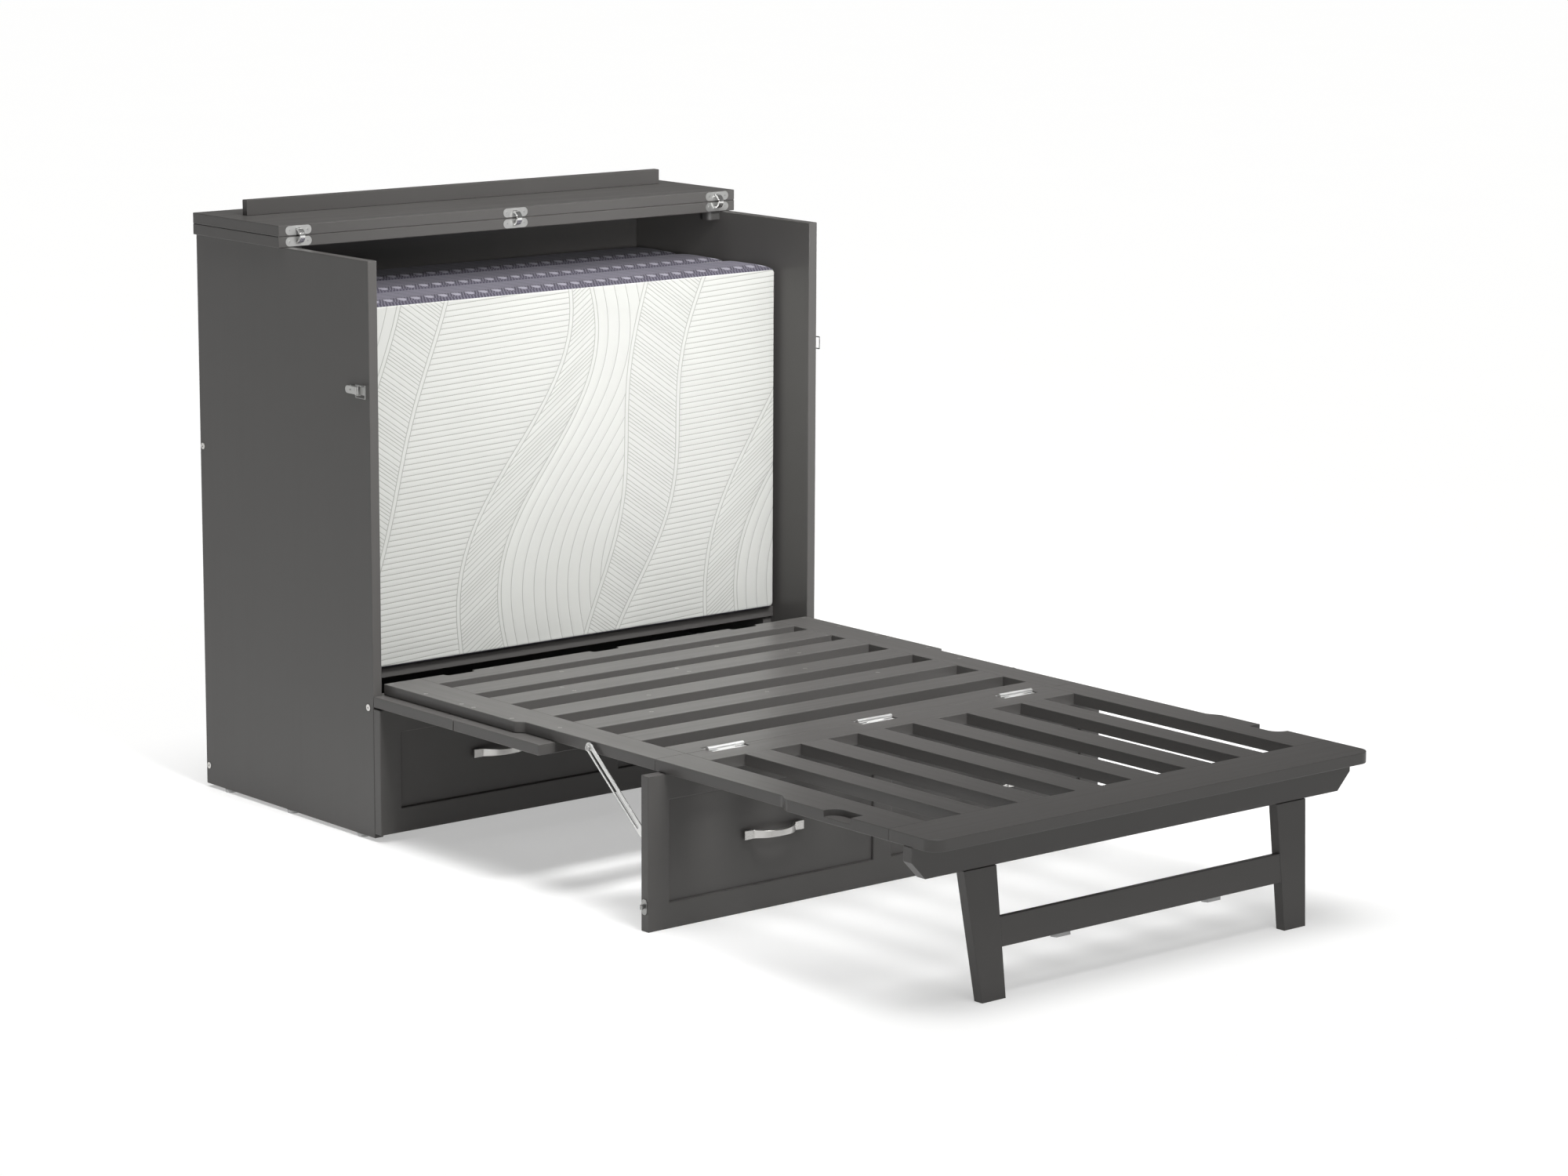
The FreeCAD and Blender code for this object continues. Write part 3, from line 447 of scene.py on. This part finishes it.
def border_material():
    k = Tree("border_knit")
    s = k.attr("b_across")      # mm from the layer's front edge
    run = k.attr("b_along")     # mm along the border
    # dashes beside the seam, then a band of ovals between slanted dashes, then plain rows
    tick = k.math("FRACT", k.math("DIVIDE", k.math("ADD", run, k.math("MULTIPLY", s, 0.8)), 7.2))
    tick = k.math("MULTIPLY", k.ramp(k.math("ABSOLUTE", k.math("SUBTRACT", tick, 0.5)), 0.14, 0.24), k.ramp(s, 6.0, 4.5))
    band = k.math("MULTIPLY", k.ramp(s, 4.5, 6.5), k.ramp(s, 37.0, 32.0))
    u = k.math("SUBTRACT", k.math("FRACT", k.math("DIVIDE", run, 31.0)), 0.5)
    v = k.math("DIVIDE", k.math("SUBTRACT", s, 19.0), 12.0)
    oval = k.math("ADD", k.math("POWER", k.math("DIVIDE", k.math("ABSOLUTE", u), 0.30), 2.0), k.math("POWER", k.math("ABSOLUTE", v), 2.0))
    oval = k.math("MULTIPLY", k.ramp(oval, 1.08, 0.66), band)
    slant = k.math("FRACT", k.math("DIVIDE", k.math("ADD", run, k.math("MULTIPLY", s, 0.55)), 6.2))
    slant = k.ramp(k.math("ABSOLUTE", k.math("SUBTRACT", slant, 0.5)), 0.18, 0.34)
    slant = k.math("MULTIPLY", k.math("MULTIPLY", slant, band), k.math("SUBTRACT", 1.0, oval))
    rows = k.math("FRACT", k.math("DIVIDE", s, 11.0))
    rows = k.ramp(k.math("ABSOLUTE", k.math("SUBTRACT", rows, 0.5)), 0.28, 0.42)
    piece = k.math("GREATER_THAN", k.math("FRACT", k.math("DIVIDE", run, 31.0)), 0.42)
    rows = k.math("MULTIPLY", k.math("MULTIPLY", rows, piece), k.math("MULTIPLY", k.math("SUBTRACT", 1.0, band), k.ramp(s, 6.0, 10.0)))
    light = k.ramp(s, 142.5, 145.0)
    cell = k.voronoi(620.0)
    fuzz = k.noise(1100.0, detail=2.0)
    cloud = k.noise(7.0, detail=3.0)
    base = k.mix(k.ramp(cloud, 0.3, 0.7), (0.088, 0.083, 0.103), (0.102, 0.096, 0.119))
    base = k.mix(k.ramp(cell, 0.15, 0.5, 0.35, 0.0), base, (0.060, 0.056, 0.074))
    base = k.mix(k.math("MULTIPLY", rows, 0.42), base, (0.19, 0.183, 0.215))
    base = k.mix(k.math("MULTIPLY", slant, 0.85), base, (0.022, 0.020, 0.030))
    base = k.mix(k.math("MULTIPLY", oval, 0.62), base, (0.27, 0.262, 0.30))
    base = k.mix(k.math("MULTIPLY", tick, 0.80), base, (0.030, 0.027, 0.040))
    base = k.mix(k.math("MULTIPLY", light, 0.7), base, (0.40, 0.39, 0.43))
    h = k.math("ADD", k.math("MULTIPLY", cell, -0.5), k.math("MULTIPLY", fuzz, 0.2))
    h = k.math("ADD", h, k.math("MULTIPLY", oval, 0.9))
    h = k.math("SUBTRACT", h, k.math("MULTIPLY", k.math("MAXIMUM", slant, tick), 0.7))
    return k.set(color=base, rough=0.9, normal=k.bump(h, 0.0005, 0.7), sheen=0.05, sheen_rough=0.5, spec=0.12)


KNIT, BORDER = knit_material(), border_material()


# ---------------------------------------------------------------------------- mattress layers
NX, NZ = 85, 57             # cells of the 12 mm grid on each face
HALF_X, HALF_Z, MID_Z = 508.0, (Z1 - Z0) / 2, (Z1 + Z0) / 2
CORNER = 10.0               # corner radius of the outline
SOFT = 4.2                  # how softly a face turns into the border
ACROSS = [0.008, 0.022, 0.042, 0.09, 0.15, 0.22, 0.30, 0.39, 0.48, 0.57, 0.66, 0.75, 0.83, 0.90, 0.950, 0.976, 0.992]


def ring_points(n, m):
    """Perimeter of a grid with n by m points, anticlockwise seen from the front: bottom, right, top, left."""
    idx = [(i, 0) for i in range(n - 1)] + [(n - 1, j) for j in range(m - 1)]
    return idx + [(i, m - 1) for i in range(n - 1, 0, -1)] + [(0, j) for j in range(m - 1, 0, -1)]


def run_along(x, z):
    """Distance along the border (mm) of the point of the outline that is nearest to x, z."""
    w, h = 2 * HALF_X, 2 * HALF_Z
    sides = [z - Z0, HALF_X - x, Z1 - z, x + HALF_X]
    along = [x + HALF_X, w + z - Z0, w + h + HALF_X - x, 2 * w + h + Z1 - z]
    best, out = sides[0], along[0]
    for d, a in zip(sides[1:], along[1:]):
        out = np.where(d < best, a, out)
        best = np.minimum(best, d)
    return out


def face_points(us, vs, y_face, sign, index):
    """One crowned face. The square grid is pressed into a rounded rectangle; sign is 1 on the front, -1 on the back."""
    U, W = np.meshgrid(us, vs, indexing="ij")
    hx, hz = HALF_X - 3.2, HALF_Z - 1.8
    x, z = U * hx, W * hz
    ex, ez = np.abs(x) - (hx - CORNER), np.abs(z) - (hz - CORNER)
    corner = (ex > 0) & (ez > 0)
    length = np.sqrt(np.maximum(ex, 1e-9) ** 2 + np.maximum(ez, 1e-9) ** 2)
    k = np.where(corner, np.maximum(ex, ez) / np.maximum(length, 1e-9), 1.0)
    x = np.where(corner, np.sign(x) * ((hx - CORNER) + ex * k), x)
    z = np.where(corner, np.sign(z) * ((hz - CORNER) + ez * k), z)
    d = np.clip(np.minimum(hx - np.abs(U * hx), hz - np.abs(W * hz)), 0, SOFT)
    turn = SOFT - np.sqrt(np.maximum(SOFT**2 - (SOFT - d) ** 2, 0))
    crown = 1.8 * (1 - (1 - U**4) * (1 - W**4))
    fade = (1 - np.abs(U) ** 3) * (1 - np.abs(W) ** 3)
    sag = 0.7 * np.sin(x / 83.0 + index) * np.sin(z / 71.0 + 2 * index) * fade
    y = y_face + sign * (2.2 + turn + crown + sag)
    return x, y, z + MID_Z, U, W


def swell_of_cover(points, faces, pinned):
    """Where a light inflation takes the cover, worked out as cloth that is held along its seams; in mm, same order."""
    me = bpy.data.meshes.new("cover_form")
    me.from_pydata([tuple(p) for p in points * MM], [], faces)
    bm = bmesh.new()
    bm.from_mesh(me)
    bmesh.ops.recalc_face_normals(bm, faces=bm.faces)
    bm.to_mesh(me)
    bm.free()
    ob = bpy.data.objects.new("cover_form", me)
    bpy.context.scene.collection.objects.link(ob)
    group = ob.vertex_groups.new(name="seams")
    group.add([int(i) for i in np.nonzero(pinned)[0]], 1.0, "REPLACE")
    mod = ob.modifiers.new("cover", "CLOTH")
    c = mod.settings
    c.quality = 4
    c.mass = 0.30
    c.tension_stiffness = c.compression_stiffness = 22.0
    c.shear_stiffness = 8.0
    c.bending_stiffness = 1.5
    c.use_pressure = True
    c.uniform_pressure_force = 4.0
    c.effector_weights.gravity = 0.0
    c.vertex_group_mass = "seams"
    mod.collision_settings.use_collision = False
    mod.collision_settings.use_self_collision = False
    mod.point_cache.frame_start, mod.point_cache.frame_end = 1, 20
    scene = bpy.context.scene
    for f in range(1, 21):
        scene.frame_set(f)
    done = ob.evaluated_get(bpy.context.evaluated_depsgraph_get()).to_mesh()
    moved = np.empty(len(done.vertices) * 3)
    done.vertices.foreach_get("co", moved)
    scene.frame_set(1)
    bpy.data.objects.remove(ob)
    bpy.data.meshes.remove(me)
    return moved.reshape(-1, 3) / MM - points


def finer(grid, us, us_f, vs, vs_f):
    """A smooth finer version of values on a grid."""
    a = np.array([np.interp(us_f, us, grid[:, j]) for j in range(grid.shape[1])]).T
    a = np.array([np.interp(vs_f, vs, a[i]) for i in range(a.shape[0])])
    for axis in (0, 1):
        for _ in range(2):
            p = np.concatenate([a.take([0], axis), a, a.take([-1], axis)], axis)
            n = a.shape[axis]
            a = 0.25 * p.take(range(0, n), axis) + 0.5 * p.take(range(1, n + 1), axis) + 0.25 * p.take(range(2, n + 2), axis)
    return a


def layer(name, index, fine):
    """One upright foam layer in its cover: crowned faces, a seam at both edges and a border that swells between them."""
    y0 = FRONT + index * (TH + GAP)
    y1 = y0 + TH
    k = 4 if fine else 1
    us, vs = np.linspace(-1, 1, NX + 1), np.linspace(-1, 1, NZ + 1)
    us_f, vs_f = np.linspace(-1, 1, NX * k + 1), np.linspace(-1, 1, NZ * k + 1)

    # the form on the 12 mm grid
    fx, fy, fz, U, W = face_points(us, vs, y0, 1, index)
    bx, by, bz, _, _ = face_points(us, vs, y1, -1, index)
    front = np.stack([fx, fy, fz], -1)
    back = np.stack([bx, by, bz], -1)
    ring = ring_points(NX + 1, NZ + 1)
    n = len(ring)
    fr = np.array([front[i, j] for i, j in ring])
    br = np.array([back[i, j] for i, j in ring])
    uv = np.array([(us[i], vs[j]) for i, j in ring])
    cx = np.clip((np.abs(uv[:, 0]) - (1 - CORNER / HALF_X)) * HALF_X / CORNER, 0, 1) * np.sign(uv[:, 0])
    cz = np.clip((np.abs(uv[:, 1]) - (1 - CORNER / HALF_Z)) * HALF_Z / CORNER, 0, 1) * np.sign(uv[:, 1])
    o = np.stack([cx, np.zeros(n), cz], -1)
    outward = o / np.maximum(np.linalg.norm(o, axis=1), 1e-9)[:, None]
    along = run_along(fr[:, 0], fr[:, 2])
    top, bottom = np.clip(outward[:, 2], 0, 1), np.clip(-outward[:, 2], 0, 1)
    side = np.abs(outward[:, 0])
    endfall = np.clip(1 - np.abs(uv[:, 0]) ** 9, 0, 1)
    swell = top * (1.4 + 6.0 * endfall) + side * 1.2 * np.clip(1 - np.abs(uv[:, 1]) ** 8, 0, 1) + bottom * 0.2
    rows = []
    for s in ACROSS:
        e = math.sin(math.pi * s) ** 0.6
        pinch = -1.3 * math.exp(-(((s - 0.022) / 0.010) ** 2)) - 1.3 * math.exp(-(((s - 0.976) / 0.010) ** 2))
        lump = 0.45 * np.sin(along / 21.0 + 9 * s + index) * math.sin(math.pi * s)
        p = fr * (1 - s) + br * s
        rows.append(p + outward * (1.8 * min(1, s / 0.02, (1 - s) / 0.02) + swell * e + pinch + lump * (1 - bottom))[:, None])

    # how the cover swells between its seams
    f_move = np.zeros_like(front)
    r_move = [np.zeros_like(fr) for _ in rows]
    dist, _, _, _ = pattern(fx, fz)
    hold = np.abs(dist) < 8.0
    hold[[0, -1], :] = True
    hold[:, [0, -1]] = True
    pts = np.concatenate([front.reshape(-1, 3), back.reshape(-1, 3)] + rows)
    pinned = np.concatenate([hold.ravel(), np.ones(back.shape[0] * back.shape[1], bool)])
    for s in ACROSS:
        edge = s < 0.03 or s > 0.97
        pinned = np.concatenate([pinned, (bottom > 0.5) | edge])
    nz = NZ + 1
    quads = [(i * nz + j, (i + 1) * nz + j, (i + 1) * nz + j + 1, i * nz + j + 1) for i in range(NX) for j in range(NZ)]
    nb = (NX + 1) * nz
    quads += [(nb + a, nb + d, nb + c, nb + b) for a, b, c, d in quads]
    chain = [[i * nz + j for i, j in ring]] + [[2 * nb + r * n + i for i in range(n)] for r in range(len(rows))] + [[nb + i * nz + j for i, j in ring]]
    for a, b in zip(chain[:-1], chain[1:]):
        quads += [(a[(i + 1) % n], a[i], b[i], b[(i + 1) % n]) for i in range(n)]
    move = swell_of_cover(pts, quads, pinned)
    flat = np.linalg.norm(move[:nb], axis=1)
    cap = 1.9
    gain = cap / max(np.percentile(flat, 97), 1e-6)
    move[:nb] *= (np.tanh(flat * gain / cap) * cap / np.maximum(flat, 1e-6))[:, None]
    if index == 0:
        f_move = move[:nb].reshape(front.shape)
    rest = move[2 * nb:]
    size = np.linalg.norm(rest, axis=1)
    cap = 3.2
    gain = cap / max(np.percentile(size, 90), 1e-6)
    rest *= (np.tanh(size * gain / cap) * cap / np.maximum(size, 1e-6))[:, None]
    r_move = [rest[r * n:(r + 1) * n] for r in range(len(rows))]
    rows = [p + m for p, m in zip(rows, r_move)]
    for p in rows:
        p[:, 0] = np.clip(p[:, 0], -508.0, 508.0)
        p[:, 2] = np.clip(p[:, 2], Z0 + 0.1, Z1 + 4.0)
        p[:, 1] = np.clip(p[:, 1], y0 + 0.1, y1 - 0.1)

    verts, attrs = [], {"q_edge": [], "q_phase": [], "q_unit": [], "q_front": [], "b_across": [], "b_along": []}

    def add(P, **at):
        start = sum(len(v) for v in verts)
        verts.append(P)
        for key in attrs:
            attrs[key].append(np.asarray(at.get(key, np.zeros(len(P))), float).ravel())
        return start

    def quilted(x, y, z, U, W, sign, deep):
        """Presses the stitch lines into the face."""
        d, ph, un, reg = pattern(x if sign > 0 else -x, z)
        g = line_gap(ph, un)
        soft = np.clip(np.minimum((1 - np.abs(U)) * HALF_X, (1 - np.abs(W)) * HALF_Z) / 8.0, 0.1, 1)
        rail = np.abs(np.abs(d) - 4.2)
        press = 0.75 * np.exp(-((rail / 2.4) ** 2)) + 0.35 * np.exp(-((d / 10.0) ** 2))
        wide, row = un > 20, (un > 10) & (un <= 20)
        press = press + np.where(wide, 0.80, np.where(row, 0.34, 0.16)) * np.exp(-((g / np.where(wide, 2.8, 2.0)) ** 2)) * (np.abs(d) > 5.5)
        return np.stack([x, y + sign * press * soft * deep, z], -1), d, ph, un

    x, y, z, UF, WF = face_points(us_f, vs_f, y0, 1, index)
    if fine:
        x, y, z = (a + finer(f_move[..., c], us, us_f, vs, vs_f) for c, a in enumerate((x, y, z)))
        y = np.maximum(y, y0 + 0.2)
    P, d, ph, un = quilted(x, y, z, UF, WF, 1, 1.0 if fine else 0.5)
    nfx, nfz = x.shape
    inset = np.minimum(HALF_X - 3.2 - np.abs(x), HALF_Z - 1.8 - np.abs(z - MID_Z))
    f0 = add(P.reshape(-1, 3), q_edge=d, q_phase=ph, q_unit=un, q_front=np.ones(x.size), b_across=2.0 - np.clip(inset, 0, 3) * 0.6, b_along=run_along(x, z))
    P, d, ph, un = quilted(bx, by, bz, U, W, -1, 0.5)
    nbx, nbz = bx.shape
    b0 = add(P.reshape(-1, 3), q_edge=d, q_phase=ph, q_unit=un, q_front=np.ones(bx.size))
    faces, mats = [], []
    rim = 1 if fine else 0      # the border's knit reaches a few millimetres round onto the front
    for i in range(nfx - 1):
        for j in range(nfz - 1):
            a = f0 + i * nfz + j
            faces.append((a, a + nfz, a + nfz + 1, a + 1))
            mats.append(1 if i < rim or j < rim or i >= nfx - 1 - rim or j >= nfz - 1 - rim else 0)
    for i in range(nbx - 1):
        for j in range(nbz - 1):
            a = b0 + i * nbz + j
            faces.append((a, a + 1, a + nbz + 1, a + nbz))
            mats.append(0)
    ring_f = ring_points(nfx, nfz)
    ids = [add(p, b_across=np.full(n, s * TH), b_along=along) for s, p in zip(ACROSS, rows)]
    first = ids[0]
    for i in range(n):
        j = (i + 1) % n
        fine_part = [f0 + a * nfz + b for a, b in (ring_f[(i * k + q) % len(ring_f)] for q in range(k + 1))]
        faces.append(tuple([first + i, first + j] + fine_part[::-1]))
        mats.append(1)
    for r in range(len(ids) - 1):
        for i in range(n):
            j = (i + 1) % n
            faces.append((ids[r] + j, ids[r] + i, ids[r + 1] + i, ids[r + 1] + j))
            mats.append(1)
    last = ids[-1]
    back_ids = [b0 + a * nbz + b for a, b in ring]
    for i in range(n):
        j = (i + 1) % n
        faces.append((last + j, last + i, back_ids[i], back_ids[j]))
        mats.append(1)
    P = np.concatenate(verts) * MM
    P[:, 1] += SHIFT
    me = bpy.data.meshes.new(name)
    me.from_pydata([tuple(p) for p in P], [], faces)
    me.materials.append(KNIT)
    me.materials.append(BORDER)
    me.polygons.foreach_set("material_index", mats)
    me.polygons.foreach_set("use_smooth", [True] * len(faces))
    for key, parts in attrs.items():
        at = me.attributes.new(key, "FLOAT", "POINT")
        at.data.foreach_set("value", np.concatenate(parts).astype(np.float32))
    me.update()
    ob = bpy.data.objects.new(name, me)
    bpy.context.scene.collection.objects.link(ob)
    bm = bmesh.new()
    bm.from_mesh(me)
    bmesh.ops.recalc_face_normals(bm, faces=bm.faces)
    bm.to_mesh(me)
    bm.free()
    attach(ob, "mattress")
    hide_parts("mattress_layers")
    return ob


for i in range(3):
    layer("mattress_layer_%d" % (i + 1), i, i == 0)

# ---------------------------------------------------------------------------- small screws on the lid's hinge plates
def cross_screw(name, centre, body, radius=3.3, tall=0.25, normal=(0, -1, 0), mat=None):
    """A flat head with a cross recess whose faces take the darker runner steel, a painted shade in the recess. It stays
    just short of the fold plane, because the plates face each other when shut.
    """
    bm = bmesh.new()
    seg = 40
    profile = [(1.0, 0.0), (0.985, 0.26), (0.9, 0.40), (0.72, 0.48), (0.56, 0.50)]
    rings = []
    for r, h in profile:
        rings.append([bm.verts.new((radius * r * math.cos(2 * math.pi * i / seg), radius * r * math.sin(2 * math.pi * i / seg), tall * h / 0.5)) for i in range(seg)])
    for a, b in zip(rings[:-1], rings[1:]):
        for i in range(seg):
            bm.faces.new((a[i], a[(i + 1) % seg], b[(i + 1) % seg], b[i]))
    # recess: the inner ring steps into a cross
    arm, wid = radius * 0.54, radius * 0.15
    cross = []
    for i in range(seg):
        t = 2 * math.pi * i / seg
        c, s = math.cos(t), math.sin(t)
        best = 0.0
        for ux, uy in ((1, 0), (0, 1)):
            along, off = abs(c * ux + s * uy), abs(-c * uy + s * ux)
            reach = min(arm / max(along, 1e-6), wid / max(off, 1e-6))
            best = max(best, reach)
        best = min(best, arm)
        cross.append((best * c, best * s))
    top_ring = [bm.verts.new((x, y, tall * 0.96)) for x, y in cross]
    low_ring = [bm.verts.new((x * 0.94, y * 0.94, tall * 0.48)) for x, y in cross]
    # painted shade: the recess walls and floor take the darker second material
    for a, b in ((rings[-1], top_ring), (top_ring, low_ring)):
        for i in range(seg):
            bm.faces.new((a[i], a[(i + 1) % seg], b[(i + 1) % seg], b[i])).material_index = int(b is low_ring)
    bm.faces.new(low_ring).material_index = 1
    base = bm.faces.new(list(reversed(rings[0])))
    bmesh.ops.recalc_face_normals(bm, faces=bm.faces)
    me = bpy.data.meshes.new(name)
    bm.to_mesh(me)
    bm.free()
    rot = Vector(normal).to_track_quat("Z", "Y").to_matrix().to_4x4()
    me.transform(Matrix.Translation(Vector(centre) * MM + Vector((0, SHIFT, 0))) @ rot @ Matrix.Scale(MM, 4))
    me.materials.append(mat or NICKEL_PLATE)
    # second material: darker steel standing for the shade in the cross recess
    me.materials.append(STEEL_DARK)
    ob = bpy.data.objects.new(name, me)
    bpy.context.scene.collection.objects.link(ob)
    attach(ob, body)
    return ob


for a, x in enumerate((-501.0, 0.0, 501.0)):
    for b, dx in enumerate((-20.0, 20.0)):
        cross_screw("plate_screw_low_%d%d" % (a, b), (x + dx, 270.3, 1090.2), "cabinet")
        cross_screw("plate_screw_high_%d%d" % (a, b), (x + dx, 270.3, 1111.2), "lid")


# ---------------------------------------------------------------------------- floor
def floor():
    me = bpy.data.meshes.new("floor")
    s = 60.0
    me.from_pydata([(-s, -s, 0), (s, -s, 0), (s, s, 0), (-s, s, 0)], [], [(0, 1, 2, 3)])
    ob = bpy.data.objects.new("floor", me)
    bpy.context.scene.collection.objects.link(ob)
    ob.location.z = -0.0002
    k = Tree("pale_floor")
    n = k.noise(1.7, detail=4.0)
    k.set(color=(0.60, 0.60, 0.598), rough=k.ramp(n, 0.3, 0.7, 0.66, 0.7), spec=0.05)
    k.bsdf.inputs["Emission Color"].default_value = (1, 1, 0.995, 1)
    k.bsdf.inputs["Emission Strength"].default_value = 0.425
    me.materials.append(k.mat)


def backdrop():
    """A far-off pale wall all round, so that a low view also ends in a plain pale ground. It gives no light."""
    seg, r, h = 96, 58.0, 60.0
    ring = [(r * math.cos(2 * math.pi * i / seg), r * math.sin(2 * math.pi * i / seg)) for i in range(seg)]
    me = bpy.data.meshes.new("backdrop")
    verts = [(x, y, -0.1) for x, y in ring] + [(x, y, h) for x, y in ring]
    me.from_pydata(verts, [], [(i, (i + 1) % seg, seg + (i + 1) % seg, seg + i) for i in range(seg)])
    ob = bpy.data.objects.new("backdrop", me)
    bpy.context.scene.collection.objects.link(ob)
    k = Tree("pale_backdrop")
    k.set(color=(0.02, 0.02, 0.02), rough=1.0, spec=0.0)
    k.bsdf.inputs["Emission Color"].default_value = (1, 1, 0.995, 1)
    k.bsdf.inputs["Emission Strength"].default_value = 1.05
    me.materials.append(k.mat)
    ob.visible_diffuse = ob.visible_glossy = ob.visible_transmission = ob.visible_shadow = False


floor()
backdrop()
